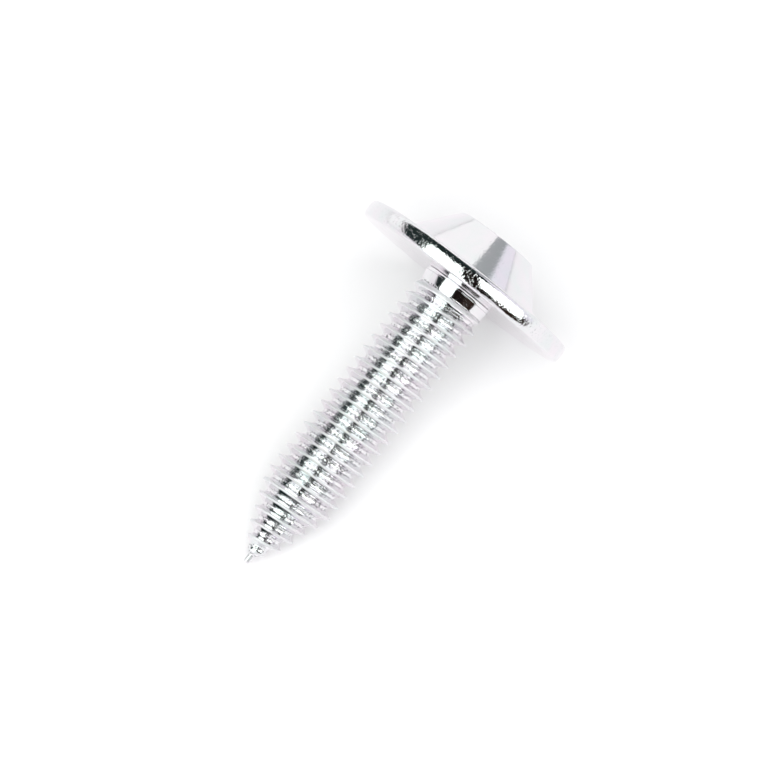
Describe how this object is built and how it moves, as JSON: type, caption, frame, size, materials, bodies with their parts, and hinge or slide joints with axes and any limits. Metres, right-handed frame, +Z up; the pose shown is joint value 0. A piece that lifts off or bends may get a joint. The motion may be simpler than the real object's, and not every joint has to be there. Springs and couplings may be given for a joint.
{
  "type": "self-tapping screw",
  "caption": "Zinc-plated self-tapping screw with a wide round flange, a tapered head with a six-lobe recess, a fine thread and a gimlet point.",
  "frame": {"origin": "on the table, under the middle of the lying screw's box", "axes": "+X along the screw from point to head, seen from above; +Z up; the head end is raised because the flange's lower edge and a thread crest near the point both rest on the table"},
  "size_m": [0.0294, 0.0178, 0.0172],
  "materials": {
    "zinc": "bright zinc plating with a pale blue and pink passivation, finely pitted"
  },
  "bodies": {
    "root": {"screw": "zinc"}
  },
  "joints": []
}
